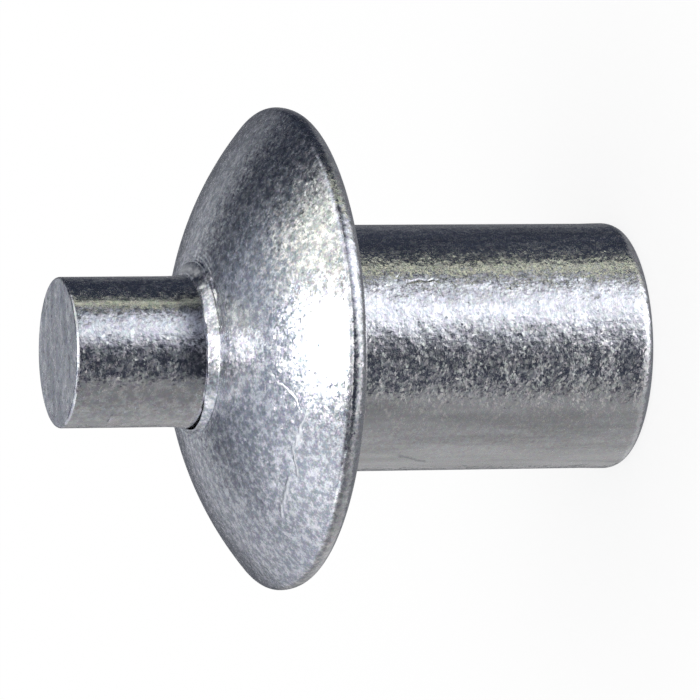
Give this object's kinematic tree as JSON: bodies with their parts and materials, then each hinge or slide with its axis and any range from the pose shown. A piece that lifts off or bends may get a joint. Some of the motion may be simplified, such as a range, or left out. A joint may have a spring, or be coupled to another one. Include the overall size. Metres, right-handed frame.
{
  "type": "hammer drive anchor",
  "caption": "Short domed-head aluminium drive anchor: a hollow shank with hidden prongs and a plain press-fit drive pin standing proud of the head.",
  "frame": {"origin": "centre of the head's flat underside, the face that bears on the work", "axes": "+Z along the turned axis, out of the dome towards the struck end of the pin; -Z towards the blind end, on which the part stands; the pin's sheared end stands highest towards -Y"},
  "size_m": [0.0124, 0.0124, 0.0151],
  "materials": {
    "body_aluminium": "tumbled mill aluminium, finely pitted and sparkling, with rubbed bright edges and a few nicks",
    "pin_aluminium": "tumbled drawn aluminium wire, finely pitted, with a smeared matt sheared end"
  },
  "bodies": {
    "root": {"anchor_body": "body_aluminium", "drive_pin": "pin_aluminium"}
  },
  "joints": []
}
